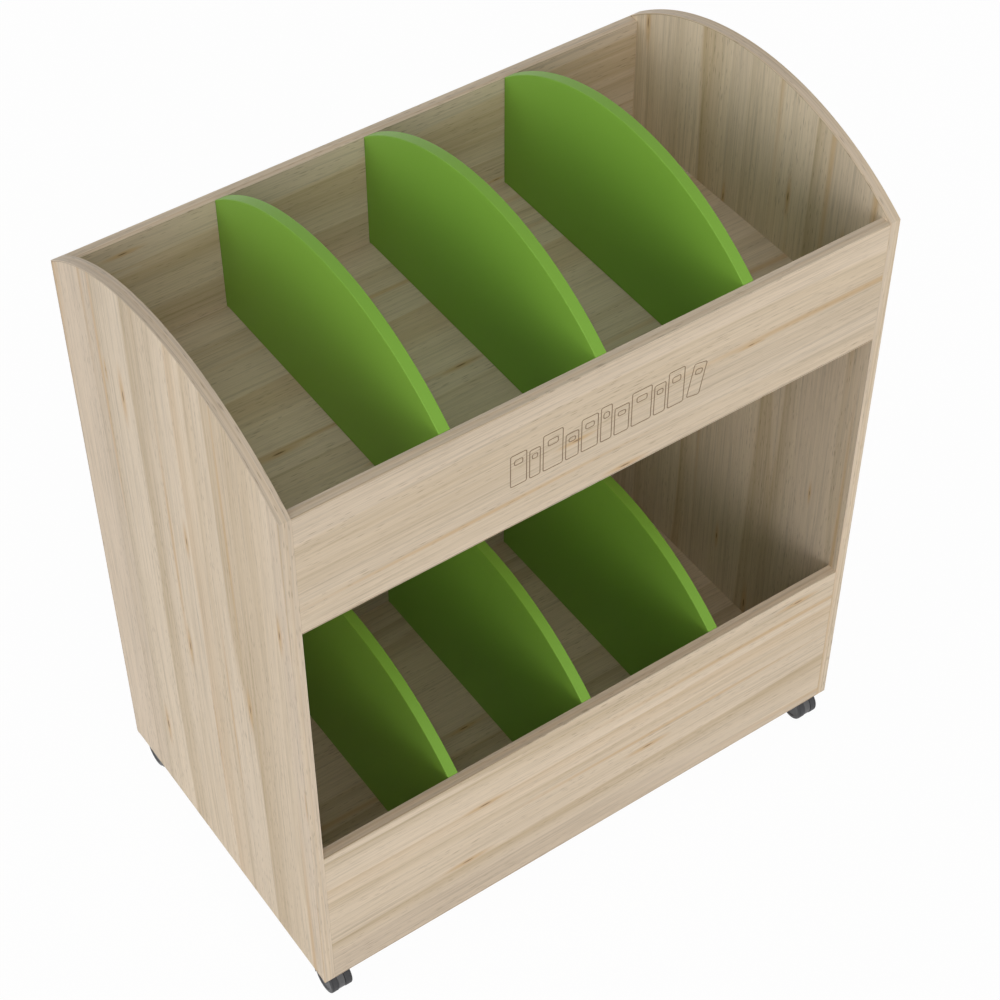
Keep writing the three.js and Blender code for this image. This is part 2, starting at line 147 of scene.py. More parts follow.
class BrowserBinSizes(bpy.types.PropertyGroup):
    """Sizes of the bin's finish, over those that its frame gives."""

    edging: length("Edging", "Thickness of the edging strips", 0.002)
    board_arris: length("Board arris", "Rounding of the wood boards' edges", 0.0004)
    edging_arris: length("Edging arris", "Rounding of the edging strips", 0.0005)
    divider_arris: length("Divider arris", "Rounding of the green dividers' edges", 0.0014)
    groove_width: length("Groove width", "Width of the motif's engraved line", 0.0018)
    groove_corner: length("Groove corner", "Rounding of the motif's corners", 0.003)
    well_gap: length("Well gap", "Running gap between a tread and its hood", 0.001)
    hood_wall: length("Hood wall", "Thickness of the shell over the wheels", 0.0025)
    web_gap: length("Web gap", "Running gap between a wheel and the hood's web", 0.0005)
    boss_wall: length("Boss wall", "Wall of the boss round the kingpin", 0.004)
    boss_floor: length("Boss floor", "Boss below the kingpin's end", 0.002)
    pin_fit: length("Pin fit", "Gap round the kingpin and the axle", 0.0003)
    plate_corner: length("Plate corner", "Rounding of the mounting plate's corners", 0.004)
    arch_steps: IntProperty(
        name="Arch steps", description="Straight lengths along each arch", default=72, min=8
    )
    wheel_steps: IntProperty(
        name="Wheel steps", description="Straight lengths round each wheel", default=96, min=12
    )


class BrowserBinColours(bpy.types.PropertyGroup):
    """Colours of the bin's finishes."""

    wood: shade("Wood", "Ground of the woodgrain", 217, 200, 177)
    wood_tan: shade("Tan bands", "Darker side of the woodgrain's bands", 184, 164, 132)
    wood_rose: shade("Rose bands", "Pinkish bands of the woodgrain", 212, 194, 172)
    wood_streak: shade("Streaks", "Long warm streaks of the woodgrain", 197, 163, 117)
    wood_fleck: shade("Flecks", "Knots of the woodgrain and the edging's glued line", 112, 88, 60)
    groove: shade("Groove", "Bottom of the engraved line", 140, 120, 95)
    green: shade("Green", "Dividers", 126, 173, 60)
    nylon: shade("Nylon", "Caster hoods", 86, 86, 87)
    tread: shade("Tread", "Treads of the wheels", 56, 56, 58)
    hub: shade("Hub", "Faces of the wheels", 52, 52, 54)
    zinc: shade("Zinc", "Plates, pins and screws", 186, 188, 191)


def bin_sizes():
    return bpy.context.scene.browser_bin_sizes


# Nodes


def socket_of(sockets, key):
    """A node's socket by its place, its identifier or the name of one that is in use."""
    if isinstance(key, int):
        return sockets[key]
    for socket in sockets:
        if socket.identifier == key and socket.enabled:
            return socket
    for socket in sockets:
        if socket.name == key and socket.enabled:
            return socket
    raise KeyError(f"no socket named {key}")


class Nodes:
    """Adds nodes to one tree."""

    def __init__(self, tree):
        self.tree = tree
        tree.nodes.clear()

    def add(self, kind, settings=None, sockets=None, out=0):
        """One node: its settings come first, then its sockets' values or links."""
        node = self.tree.nodes.new(kind)
        for key, value in (settings or {}).items():
            setattr(node, key, value)
        for key, value in (sockets or {}).items():
            target = socket_of(node.inputs, key)
            for part in value if isinstance(value, list) else [value]:
                if isinstance(part, Value):
                    self.tree.links.new(part.socket, target)
                else:
                    target.default_value = part
        if out is None:
            return None
        if isinstance(out, tuple):
            return [Value(self, socket_of(node.outputs, key)) for key in out]
        return Value(self, socket_of(node.outputs, out))


class Value:
    """A node's output in a sum: each operator adds a Math node."""

    def __init__(self, nodes, socket):
        self.nodes = nodes
        self.socket = socket

    def maths(self, operation, first, second):
        return self.nodes.add("ShaderNodeMath", {"operation": operation}, {0: first, 1: second})

    def __add__(self, other):
        return self.maths("ADD", self, other)

    __radd__ = __add__

    def __sub__(self, other):
        return self.maths("SUBTRACT", self, other)

    def __rsub__(self, other):
        return self.maths("SUBTRACT", other, self)

    def __mul__(self, other):
        return self.maths("MULTIPLY", self, other)

    __rmul__ = __mul__

    def __truediv__(self, other):
        return self.maths("DIVIDE", self, other)

    def largest(self, other):
        return self.maths("MAXIMUM", self, other)

    def fraction(self):
        return self.maths("FRACT", self, 0.0)

    def whole(self):
        return self.maths("FLOOR", self, 0.0)


# Finishes


def linear(gamma_colour):
    """A screen colour as the light that a shader works in."""
    parts = []
    for part in gamma_colour:
        parts.append(part / 12.92 if part <= 0.04045 else ((part + 0.055) / 1.055) ** 2.4)
    return (*parts, 1.0)


def join(nodes, x, y, z):
    return nodes.add("ShaderNodeCombineXYZ", None, {"X": x, "Y": y, "Z": z})


def noise(nodes, point, detail=2.0, roughness=0.5, scale=1.0):
    sockets = {"Vector": point, "Scale": scale, "Detail": detail, "Roughness": roughness}
    return nodes.add("ShaderNodeTexNoise", {"noise_dimensions": "3D"}, sockets)


def grain_noise(nodes, along, across, kind, detail, roughness=0.5):
    """Noise drawn out along the grain."""
    lengthwise, crosswise, seed = kind
    return noise(nodes, join(nodes, along * lengthwise, across * crosswise, seed), detail, roughness)


def rise(nodes, value, low, high):
    """0 below low, 1 above high and a smooth step between them."""
    sockets = {"Value": value, "From Min": low, "From Max": high}
    return nodes.add("ShaderNodeMapRange", {"interpolation_type": "SMOOTHSTEP"}, sockets)


def mix(nodes, share, first, second):
    sockets = {"Factor_Float": share, "A_Color": first, "B_Color": second}
    return nodes.add("ShaderNodeMix", {"data_type": "RGBA"}, sockets, "Result_Color")


def dim(nodes, colour, level):
    start = colour if isinstance(colour, Value) else colour[:3]
    return nodes.add("ShaderNodeVectorMath", {"operation": "SCALE"}, {0: start, "Scale": level})


def object_point(nodes):
    return nodes.add("ShaderNodeTexCoord", out="Object")


def bump(nodes, height, strength, distance):
    sockets = {"Height": height, "Strength": strength, "Distance": distance}
    return nodes.add("ShaderNodeBump", None, sockets)


def surface(nodes, sockets):
    shader = nodes.add("ShaderNodeBsdfPrincipled", None, sockets)
    nodes.add("ShaderNodeOutputMaterial", None, {"Surface": shader}, None)


def new_finish(name, screen_colour):
    material = bpy.data.materials.new(name)
    material.use_nodes = True
    material.diffuse_color = linear(screen_colour)
    return material, Nodes(material.node_tree)


def specks(nodes, along, lane, kind):
    """Separate long specks, one at most in each cell: 0 in a speck's middle, 1 at its end and over."""
    cell_length, cell_width, reach, share = kind
    sockets = {"Vector": join(nodes, along / cell_length, lane / cell_width, 0.0), "Scale": 1.0}
    outputs = ("Distance", "Color")
    distance, pick = nodes.add("ShaderNodeTexVoronoi", {"voronoi_dimensions": "2D"}, sockets, outputs)
    red, blue = nodes.add("ShaderNodeSeparateColor", None, {"Color": pick}, ("Red", "Blue"))
    left_out = rise(nodes, blue, share - 0.01, share)
    return distance / (reach * (0.45 + 0.55 * red)) + 9.0 * left_out


def growth_bands(nodes, count):
    """Bands of a running count: each turns from pale to dark and ends in a sharp line."""
    late = count.fraction()
    sockets = {"W": count.whole()}
    pick = nodes.add("ShaderNodeTexWhiteNoise", {"noise_dimensions": "1D"}, sockets, "Color")
    tone, tint = nodes.add("ShaderNodeSeparateColor", None, {"Color": pick}, ("Red", "Green"))
    dark = late * late * (1 - rise(nodes, late, 0.9, 1.0)) * (0.15 + 0.85 * tone)
    return late, dark, tint


def wood_finish(name, colours, turn=None):
    """Pale woodgrain film. The grain runs along X of the turned point, or along an edging strip."""
    material, nodes = new_finish(name, colours.wood)
    edging = turn is None
    if edging:
        point = nodes.add("ShaderNodeAttribute", {"attribute_name": "grain"}, None, "Vector")
    else:
        point = nodes.add("ShaderNodeMapping", None, {"Vector": object_point(nodes), "Rotation": turn})
    u, v, depth = nodes.add("ShaderNodeSeparateXYZ", None, {"Vector": point}, ("X", "Y", "Z"))
    along = u + 3.1 * depth
    across = v + 1.7 * depth
    sway = grain_noise(nodes, along, across, SWAY, 1.0) - 0.5
    lane = across + 0.03 * sway

    bend = grain_noise(nodes, along, lane, BEND, 2.0)
    late, tan, tint = growth_bands(nodes, lane * (EDGING_BANDS if edging else BOARD_BANDS) + 3.8 * bend)
    rose = rise(nodes, tint, 0.5, 0.9)
    warmth = (1 - rise(nodes, tint, 0.12, 0.38)) * (0.2 + 0.8 * late)
    if edging:
        tan = 0.55 * tan
    else:
        waver = grain_noise(nodes, along, lane, WAVER, 2.0)
        tan = tan + 0.4 * growth_bands(nodes, lane * FINE_BANDS + 5.0 * waver)[1]

    # Fine lines, pores, long warm streaks and small knots
    broad = grain_noise(nodes, along, lane, BROAD, 1.0) - 0.5
    thread = grain_noise(nodes, along, lane, THREAD, 2.0, 0.6) - 0.5
    fibre = grain_noise(nodes, along, lane, FIBRE, 1.0) - 0.5
    lines = rise(nodes, thread, 0.05, 0.16)
    ragged = lane + 0.0015 * thread
    open_grain = rise(nodes, grain_noise(nodes, along, lane, OPEN_GRAIN, 1.0), 0.4, 0.65)
    pore = 1 - rise(nodes, specks(nodes, along, ragged, PORES), 0.2, 1.0)
    pore = pore * (0.35 + 0.65 * open_grain)
    streak = 1 - rise(nodes, specks(nodes, along, ragged, STREAKS), 0.1, 1.0)
    knot = specks(nodes, along + 0.31, ragged + 0.04, EDGING_KNOTS if edging else KNOTS)
    glow = 1 - rise(nodes, knot, 0.1, 1.0)
    heart = 1 - rise(nodes, knot, 0.06, 0.2)

    colour = mix(nodes, tan, linear(colours.wood), linear(colours.wood_tan))
    colour = mix(nodes, 0.8 * rose, colour, linear(colours.wood_rose))
    level = 1.0 + 0.34 * broad + 0.8 * thread + 0.18 * fibre - 0.17 * lines
    colour = dim(nodes, colour, level)
    warm = (0.62 * streak).largest(0.75 * glow).largest(0.34 * warmth)
    colour = mix(nodes, warm, colour, linear(colours.wood_streak))
    dark = (0.42 * pore).largest(0.85 * heart)
    colour = mix(nodes, dark, colour, linear(colours.wood_fleck))
    if edging:
        seam = nodes.add("ShaderNodeAttribute", {"attribute_name": "seam"}, None, "Fac")
        colour = mix(nodes, 0.8 * rise(nodes, seam, 0.4, 0.9), colour, linear(colours.wood_fleck))

    surface(nodes, {
        "Base Color": colour,
        "Roughness": 0.52 + 0.1 * tan - 0.2 * thread + 0.1 * heart,
        "Specular IOR Level": 0.25,
        "Normal": bump(nodes, thread + 0.6 * fibre - heart, 0.10, 0.0003),
    })
    return material


def groove_finish(colours):
    material, nodes = new_finish("engraved_line", colours.groove)
    point = object_point(nodes)
    grit = noise(nodes, point, 3.0, 0.6, 900.0) - 0.5
    surface(nodes, {
        "Base Color": dim(nodes, linear(colours.groove), 1.0 + 0.5 * grit),
        "Roughness": 0.8 + 0.2 * grit,
        "Normal": bump(nodes, grit, 0.3, 0.0003),
    })
    return material


def green_finish(colours):
    """Satin lacquer with a faint orange peel."""
    material, nodes = new_finish("green_lacquer", colours.green)
    point = object_point(nodes)
    cloud = noise(nodes, point, 2.0, 0.5, 7.0) - 0.5
    peel = noise(nodes, point, 2.0, 0.5, 420.0) - 0.5
    surface(nodes, {
        "Base Color": dim(nodes, linear(colours.green), 1.0 + 0.06 * cloud + 0.03 * peel),
        "Roughness": 0.50 + 0.12 * cloud + 0.1 * peel,
        "Specular IOR Level": 0.3,
        "Normal": bump(nodes, peel, 0.10, 0.0003),
    })
    return material


def moulded_finish(name, screen_colour, roughness):
    """Moulded plastic with a fine spark-eroded grain."""
    material, nodes = new_finish(name, screen_colour)
    point = object_point(nodes)
    cloud = noise(nodes, point, 2.0, 0.5, 60.0) - 0.5
    grain = noise(nodes, point, 2.0, 0.6, 2200.0) - 0.5
    surface(nodes, {
        "Base Color": dim(nodes, linear(screen_colour), 1.0 + 0.16 * cloud + 0.25 * grain),
        "Roughness": roughness + 0.15 * cloud + 0.1 * grain,
        "Normal": bump(nodes, grain, 0.25, 0.0002),
    })
    return material


def zinc_finish(colours):
    """Zinc-plated steel: small crystals of slightly different tone and gloss."""
    material, nodes = new_finish("zinc_plate", colours.zinc)
    point = object_point(nodes)
    crystal = nodes.add("ShaderNodeTexVoronoi", None, {"Vector": point, "Scale": 420.0}, "Color")
    tone = nodes.add("ShaderNodeSeparateColor", None, {"Color": crystal}, "Red") - 0.5
    scuff = noise(nodes, point, 3.0, 0.6, 260.0) - 0.5
    surface(nodes, {
        "Base Color": dim(nodes, linear(colours.zinc), 1.0 + 0.12 * tone + 0.1 * scuff),
        "Metallic": 1.0,
        "Roughness": 0.34 + 0.12 * tone + 0.2 * scuff,
        "Normal": bump(nodes, scuff, 0.08, 0.0002),
    })
    return material


def make_finishes(colours):
    """Every finish of the bin by its name."""
    quarter = math.pi / 2
    return {
        "end_wood": wood_finish("wood_upright_grain", colours, (0.0, quarter, 0.0)),
        "front_wood": wood_finish("wood_level_grain", colours, (-quarter, 0.0, 0.0)),
        "floor_wood": wood_finish("wood_floor_grain", colours, (0.0, 0.0, 0.0)),
        "edging_wood": wood_finish("wood_edging", colours),
        "groove": groove_finish(colours),
        "green": green_finish(colours),
        "nylon": moulded_finish("hood_nylon", colours.nylon, 0.5),
        "tread": moulded_finish("wheel_tread", colours.tread, 0.6),
        "hub": moulded_finish("wheel_hub", colours.hub, 0.42),
        "zinc": zinc_finish(colours),
    }


FINISHES = {}


def finish_of(name):
    if not FINISHES:
        FINISHES.update(make_finishes(bpy.context.scene.browser_bin_colours))
    return FINISHES[name]


# Meshes


def new_piece(name, mesh):
    piece = bpy.data.objects.new(name, mesh)
    bpy.context.scene.collection.objects.link(piece)
    return piece


def mesh_of(name, shape):
    """A plain mesh from a bmesh, its faces turned outwards."""
    bmesh.ops.remove_doubles(shape, verts=shape.verts, dist=1e-7)
    bmesh.ops.recalc_face_normals(shape, faces=shape.faces)
    mesh = bpy.data.meshes.new(name)
    shape.to_mesh(mesh)
    shape.free()
    return mesh


def make_plain(piece):
    """Puts what the modifiers make of a piece into its own mesh."""
    graph = bpy.context.evaluated_depsgraph_get()
    made = piece.evaluated_get(graph)
    mesh = bpy.data.meshes.new_from_object(made, preserve_all_data_layers=True, depsgraph=graph)
    mesh.name = piece.name
    piece.modifiers.clear()
    piece.data = mesh


def face_outwards(piece):
    shape = bmesh.new()
    shape.from_mesh(piece.data)
    bmesh.ops.recalc_face_normals(shape, faces=shape.faces)
    shape.to_mesh(piece.data)
    shape.free()


def round_edges(piece, width, segments=3, angle=35.0):
    bevel = piece.modifiers.new("arris", "BEVEL")
    bevel.width = width
    bevel.segments = segments
    bevel.limit_method = "ANGLE"
    bevel.angle_limit = math.radians(angle)
    make_plain(piece)


def even_shading(piece, angle=42.0):
    """Smooth roundings next to flat faces that stay flat."""
    mesh = piece.data
    mesh.polygons.foreach_set("use_smooth", [True] * len(mesh.polygons))
    mesh.set_sharp_from_angle(angle=math.radians(angle))
    weighted = piece.modifiers.new("even", "WEIGHTED_NORMAL")
    weighted.keep_sharp = True
    make_plain(piece)


def combine(piece, other, operation):
    """Joins or cuts a piece with another, which is used up."""
    modifier = piece.modifiers.new("combine", "BOOLEAN")
    modifier.operation = operation
    modifier.solver = "EXACT"
    modifier.material_mode = "TRANSFER"
    modifier.object = other
    make_plain(piece)
    bpy.data.objects.remove(other)


def seat(piece, body, slot, *nodes):
    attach(piece, body)
    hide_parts(*nodes)


def block(name, low, high):
    shape = bmesh.new()
    bmesh.ops.create_cube(shape, size=1.0)
    middle = (low + high) / 2
    for vertex in shape.verts:
        vertex.co = middle + Vector(a * b for a, b in zip(vertex.co, high - low))
    return new_piece(name, mesh_of(name, shape))


def bridge(shape, here, there, closed=True):
    """Walls between two loops of points, or two open lines of them."""
    for i in range(len(here) if closed else len(here) - 1):
        j = (i + 1) % len(here)
        shape.faces.new((here[i], here[j], there[j], there[i]))


def turned(name, section, centre, axis, steps, closed=False):
    """A section of distances along an axis and radii, turned about the axis through a centre."""
    shape = bmesh.new()
    first = AXIS_Y if axis == AXIS_X else AXIS_X
    second = axis.cross(first)
    rings = []
    for step in range(steps):
        angle = 2 * math.pi * step / steps
        outward = first * math.cos(angle) + second * math.sin(angle)
        rings.append([shape.verts.new(centre + axis * d + outward * r) for d, r in section])
    for here, there in zip(rings, [*rings[1:], rings[0]]):
        bridge(shape, here, there, closed)
    bmesh.ops.remove_doubles(shape, verts=shape.verts, dist=1e-7)
    bmesh.ops.dissolve_degenerate(shape, edges=shape.edges, dist=1e-8)
    return new_piece(name, mesh_of(name, shape))


def corner(centre, radius, start, end, steps=5):
    """Points of a rounded corner of a section, by its angles in degrees."""
    points = []
    for i in range(steps + 1):
        angle = math.radians(start + (end - start) * i / steps)
        points.append((centre[0] + radius * math.cos(angle), centre[1] + radius * math.sin(angle)))
    return points


# Geometry node trees


def new_tree(name, inputs):
    """A geometry node tree with named inputs, its nodes and its inputs' values."""
    tree = bpy.data.node_groups.new(name, "GeometryNodeTree")
    tree.interface.new_socket("Geometry", in_out="INPUT", socket_type="NodeSocketGeometry")
    for label, kind in inputs:
        tree.interface.new_socket(label, in_out="INPUT", socket_type=f"NodeSocket{kind}")
    tree.interface.new_socket("Geometry", in_out="OUTPUT", socket_type="NodeSocketGeometry")
    nodes = Nodes(tree)
    labels = ("Geometry", *(label for label, kind in inputs))
    return tree, nodes, nodes.add("NodeGroupInput", out=labels)


def end_tree(nodes, geometry, material):
    whole = nodes.add("GeometryNodeRealizeInstances", None, {"Geometry": geometry})
    covered = nodes.add("GeometryNodeSetMaterial", None, {"Geometry": whole, "Material": material})
    nodes.add("NodeGroupOutput", None, {"Geometry": covered}, None)


def thicken(nodes, sheet, offset):
    """A flat sheet made a closed solid."""
    sockets = {"Mesh": sheet, "Offset": offset, "Individual": False}
    far = nodes.add("GeometryNodeExtrudeMesh", {"mode": "FACES"}, sockets)
    near = nodes.add("GeometryNodeFlipFaces", None, {"Mesh": sheet})
    both = nodes.add("GeometryNodeJoinGeometry", None, {"Geometry": [far, near]})
    return nodes.add("GeometryNodeMergeByDistance", None, {"Geometry": both, "Distance": 1e-6})


def arched_board_tree():
    """A board in the YZ plane whose top is an arc over its two corners."""
    lengths = ("Side", "Thickness", "Half depth", "Bottom", "Corner height", "Top")
    inputs = [(label, "Float") for label in lengths]
    inputs += [("Steps", "Int"), ("Material", "Material")]
    tree, nodes, given = new_tree("Arched board", inputs)
    geometry, side, thickness, half, bottom, corner_height, top, steps, material = given
    sockets = {
        "Resolution": steps + 1,
        "Start": join(nodes, side, 0 - half, corner_height),
        "Middle": join(nodes, side, 0.0, top),
        "End": join(nodes, side, half, corner_height),
    }
    arc = nodes.add("GeometryNodeCurveArc", {"mode": "POINTS"}, sockets)
    line = nodes.add("GeometryNodeCurveToMesh", None, {"Curve": arc})
    place = nodes.add("GeometryNodeInputPosition")
    height = nodes.add("ShaderNodeSeparateXYZ", None, {"Vector": place}, "Z")
    drop = join(nodes, 0.0, 0.0, bottom - height)
    sheet = nodes.add("GeometryNodeExtrudeMesh", {"mode": "EDGES"}, {"Mesh": line, "Offset": drop})
    end_tree(nodes, thicken(nodes, sheet, join(nodes, thickness, 0.0, 0.0)), material)
    return tree


def edging_tree():
    """A strip that follows a path along a board's edge, which says where the board lies."""
    inputs = (("Thickness", "Float"), ("Across", "Vector"), ("Material", "Material"))
    tree, nodes, (path, thickness, across, material) = new_tree("Edging strip", inputs)
    vector = {"data_type": "FLOAT_VECTOR"}
    inward = nodes.add("GeometryNodeInputNamedAttribute", vector, {"Name": "inward"})
    along = nodes.add("GeometryNodeInputNamedAttribute", {"data_type": "FLOAT"}, {"Name": "along"})
    sockets = {"Mesh": path, "Offset": inward, "Offset Scale": thickness}
    sheet, glued = nodes.add("GeometryNodeExtrudeMesh", {"mode": "EDGES"}, sockets, ("Mesh", "Top"))
    sockets = {"Geometry": sheet, "Selection": glued, "Name": "seam", "Value": 1.0}
    number = {"data_type": "FLOAT", "domain": "POINT"}
    sheet = nodes.add("GeometryNodeStoreNamedAttribute", number, sockets)
    solid = thicken(nodes, sheet, across)
    place = nodes.add("GeometryNodeInputPosition")
    unit = nodes.add("ShaderNodeVectorMath", {"operation": "NORMALIZE"}, {0: across})
    width = nodes.add("ShaderNodeVectorMath", {"operation": "DOT_PRODUCT"}, {0: place, 1: unit}, "Value")
    sockets = {"Geometry": solid, "Name": "grain", "Value": join(nodes, along, width, 0.0)}
    marked = nodes.add("GeometryNodeStoreNamedAttribute", {**vector, "domain": "POINT"}, sockets)
    end_tree(nodes, marked, material)
    return tree


def engraving_tree():
    """The round tool that follows an outline's edges."""
    inputs = (("Width", "Float"), ("Corner", "Float"), ("Material", "Material"))
    tree, nodes, (outline, width, rounding, material) = new_tree("Engraving tool", inputs)
    curve = nodes.add("GeometryNodeMeshToCurve", None, {"Mesh": outline})
    sockets = {"Curve": curve, "Radius": rounding, "Count": 4, "Limit Radius": True}
    curve = nodes.add("GeometryNodeFilletCurve", {"mode": "POLY"}, sockets)
    sockets = {"Resolution": 8, "Radius": width / 2}
    tip = nodes.add("GeometryNodeCurvePrimitiveCircle", {"mode": "RADIUS"}, sockets)
    sockets = {"Curve": curve, "Profile Curve": tip, "Fill Caps": True}
    end_tree(nodes, nodes.add("GeometryNodeCurveToMesh", None, sockets), material)
    return tree


def screws_tree():
    """One screw on every point, each turned to rest at its own angle."""
    inputs = (("Screw", "Object"), ("Seed", "Int"), ("Material", "Material"))
    tree, nodes, (points, screw, seed, material) = new_tree("Caster screws", inputs)
    settings = {"transform_space": "ORIGINAL"}
    shape = nodes.add("GeometryNodeObjectInfo", settings, {"Object": screw}, "Geometry")
    sockets = {"Min_001": 0.0, "Max_001": math.pi / 2, "Seed": seed}
    turn = nodes.add("FunctionNodeRandomValue", {"data_type": "FLOAT"}, sockets, "Value_001")
    sockets = {"Points": points, "Instance": shape, "Rotation": join(nodes, 0.0, 0.0, turn)}
    end_tree(nodes, nodes.add("GeometryNodeInstanceOnPoints", None, sockets), material)
    return tree


TREES = {}
TREE_MAKERS = {
    "arched_board": arched_board_tree,
    "edging": edging_tree,
    "engraving": engraving_tree,
    "screws": screws_tree,
}


def shape_by(piece, tree_name, values):
    """Runs a geometry node tree on a piece with its inputs set, and keeps the result."""
    if tree_name not in TREES:
        TREES[tree_name] = TREE_MAKERS[tree_name]()
    tree = TREES[tree_name]
    modifier = piece.modifiers.new(tree.name, "NODES")
    modifier.node_group = tree
    for item in tree.interface.items_tree:
        if item.in_out == "INPUT" and item.name in values:
            modifier[item.identifier] = values[item.name]
    make_plain(piece)
    face_outwards(piece)


# Boards


def arched_board(name, node, half_depth, bottom, corner_height, top, material):
    low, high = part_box(node)
    piece = new_piece(name, bpy.data.meshes.new(name))
    shape_by(piece, "arched_board", {
        "Side": low.x,
        "Thickness": high.x - low.x,
        "Half depth": half_depth,
        "Bottom": bottom,
        "Corner height": corner_height,
        "Top": top,
        "Steps": bin_sizes().arch_steps,
        "Material": material,
    })
    return piece


def strip(name, points, inward, across):
    """An edging strip along the outer line of a board's edge."""
    sizes = bin_sizes()
    mesh = bpy.data.meshes.new(name)
    mesh.from_pydata(points, [(i, i + 1) for i in range(len(points) - 1)], [])
    lengths = [0.0]
    for near, far in zip(points, points[1:]):
        lengths.append(lengths[-1] + (far - near).length)
    towards = mesh.attributes.new("inward", "FLOAT_VECTOR", "POINT")
    towards.data.foreach_set("vector", [part for vector in inward for part in vector])
    along = mesh.attributes.new("along", "FLOAT", "POINT")
    along.data.foreach_set("value", lengths)
    piece = new_piece(name, mesh)
    shape_by(piece, "edging", {
        "Thickness": sizes.edging,
        "Across": across,
        "Material": finish_of("edging_wood"),
    })
    round_edges(piece, sizes.edging_arris)
    even_shading(piece)
    return piece


def straight_strip(node, name, outer_side):
    """A strip along X: outer_side is 1 where its outer face is its top and -1 where it is its bottom."""
    low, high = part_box(node)
    level = high.z if outer_side > 0 else low.z
    points = [Vector((low.x, low.y, level)), Vector((high.x, low.y, level))]
    inward = [Vector((0, 0, -outer_side))] * 2
    piece = strip(name, points, inward, Vector((0, high.y - low.y, 0)))
    seat(piece, CARCASS, "wood_edging", node)


def arch_points(x, half_depth, corner_height, top, steps):
    """Points of an arc over two corners, from the front one to the back one."""
    arch = top - corner_height
    radius = (half_depth * half_depth + arch * arch) / (2 * arch)
    reach = math.asin(half_depth / radius)
    points = []
    for i in range(steps + 1):
        angle = reach * (2 * i / steps - 1)
        points.append(Vector((x, radius * math.sin(angle), top - radius * (1 - math.cos(angle)))))
    return points


def inward_mitres(points):
    """At each point of a path in the YZ plane, the mitred way to a parallel path on its right."""
    normals = []
    for near, far in zip(points, points[1:]):
        way = (far - near).normalized()
        normals.append(Vector((0, way.z, -way.y)))
    mitres = []
    for before, after in zip([normals[0], *normals], [*normals, normals[-1]]):
        mitres.append((before + after) / (1 + before.dot(after)))
    return mitres


def end_panel(side):
    sizes = bin_sizes()
    node = f"{side}_end_panel"
    edge_node = f"{side}_end_edging"
    low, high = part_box(edge_node)
    corner_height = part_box("back_top_edging")[1].z
    arc = arch_points(low.x, high.y, corner_height, high.z, sizes.arch_steps)
    points = [Vector((low.x, low.y, low.z)), *arc, Vector((low.x, high.y, low.z))]
    mitres = inward_mitres(points)
    edging = strip(f"{side}_end_trim", points, mitres, Vector((high.x - low.x, 0, 0)))
    seat(edging, CARCASS, "wood_edging", edge_node)

    inner_corner = points[1] + mitres[1] * sizes.edging
    board = arched_board(
        f"{side}_end_board",
        edge_node,
        high.y - sizes.edging,
        low.z,
        inner_corner.z,
        high.z - sizes.edging,
        finish_of("end_wood"),
    )
    round_edges(board, sizes.board_arris)
    even_shading(board)
    seat(board, CARCASS, "wood_board", node)


def flat_board(name, low, high, finish, node, tool=None):
    """A straight board in place of a node, cut by a tool where there is one."""
    board = block(name, low, high)
    board.data.materials.append(finish_of(finish))
    round_edges(board, bin_sizes().board_arris)
    if tool:
        combine(board, tool, "DIFFERENCE")
    even_shading(board)
    seat(board, CARCASS, "wood_board", node)


def motif_outlines(centre, base, y):
    """Closed outlines that stand in a row on a line, each with a band near its top."""
    total = sum(width for width, height, lean in MOTIF) + MOTIF_GAP * (len(MOTIF) - 1)
    outlines = []
    start = -total / 2
    for width, height, lean in MOTIF:
        turn = Matrix.Rotation(math.radians(-lean), 2)
        slip = height * math.sin(math.radians(lean)) * 0.1
        lift = 0.2 * lean
        for left, low, right, high in ((0, 0, 1, 1), MOTIF_BAND):
            outline = []
            for across, up in ((left, low), (right, low), (right, high), (left, high)):
                x, z = turn @ Vector((across * width, up * height))
                outline.append(Vector((centre + (start + slip + x) / 1000, y, base + (z + lift) / 1000)))
            outlines.append(outline)
        start += width + MOTIF_GAP
    return outlines


def engraving(panel_low, panel_high):
    """The tool that cuts the motif into the middle of the upper front's face."""
    sizes = bin_sizes()
    tallest = max(height for width, height, lean in MOTIF) / 1000
    base = (panel_low.z + panel_high.z - tallest) / 2
    stand_off = 0.0002
    outlines = motif_outlines((panel_low.x + panel_high.x) / 2, base, panel_low.y - stand_off)
    points = [point for outline in outlines for point in outline]
    edges = []
    for first in range(0, len(points), 4):
        edges += [(first + i, first + (i + 1) % 4) for i in range(4)]
    mesh = bpy.data.meshes.new("engraving_tool")
    mesh.from_pydata(points, edges, [])
    tool = new_piece("engraving_tool", mesh)
    shape_by(tool, "engraving", {
        "Width": sizes.groove_width,
        "Corner": sizes.groove_corner,
        "Material": finish_of("groove"),
    })
    return tool


def front_panel(name):
    bottom_low, bottom_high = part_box(f"{name}_bottom_edging")
    top_low, top_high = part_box(f"{name}_top_edging")
    low = Vector((bottom_low.x, bottom_low.y, bottom_high.z))
    high = Vector((top_high.x, top_high.y, top_low.z))
    tool = engraving(low, high) if name == "upper_front" else None
    flat_board(f"{name}_board", low, high, "front_wood", f"{name}_panel", tool)
    straight_strip(f"{name}_bottom_edging", f"{name}_bottom_trim", -1)
    straight_strip(f"{name}_top_edging", f"{name}_top_trim", 1)


def back_panel():
    strip_low, strip_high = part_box("back_top_edging")
    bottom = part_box("left_end_edging")[0].z
    low = Vector((strip_low.x, strip_low.y, bottom))
    high = Vector((strip_high.x, strip_high.y, strip_low.z))
    flat_board("back_board", low, high, "front_wood", "back_panel")
    straight_strip("back_top_edging", "back_top_trim", 1)


